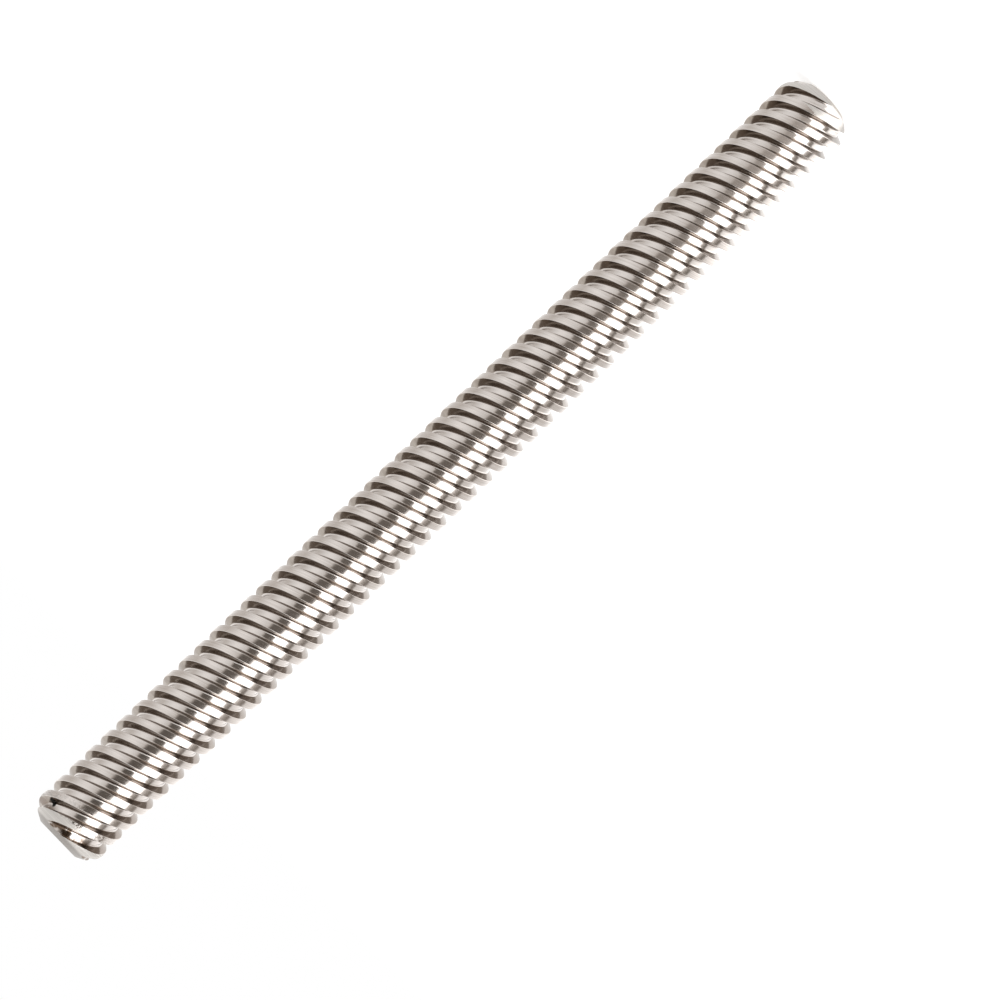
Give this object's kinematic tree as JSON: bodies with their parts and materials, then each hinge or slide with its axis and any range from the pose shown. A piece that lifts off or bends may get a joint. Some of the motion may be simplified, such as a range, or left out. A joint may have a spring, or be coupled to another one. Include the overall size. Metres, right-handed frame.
{
  "type": "trapezoidal lead screw",
  "caption": "Round steel rod with a right-hand multi-start trapezoidal thread over its whole length and chamfered ends, which turns to drive a nut along it.",
  "frame": {"origin": "middle of the lower end face, on which the screw stands", "axes": "+Z along the screw's axis, from the lower end face to the upper one"},
  "size_m": [0.008, 0.008, 0.1],
  "materials": {
    "steel": "bright rolled and ground stainless steel"
  },
  "bodies": {
    "root": {"lead_screw": "steel"}
  },
  "joints": []
}
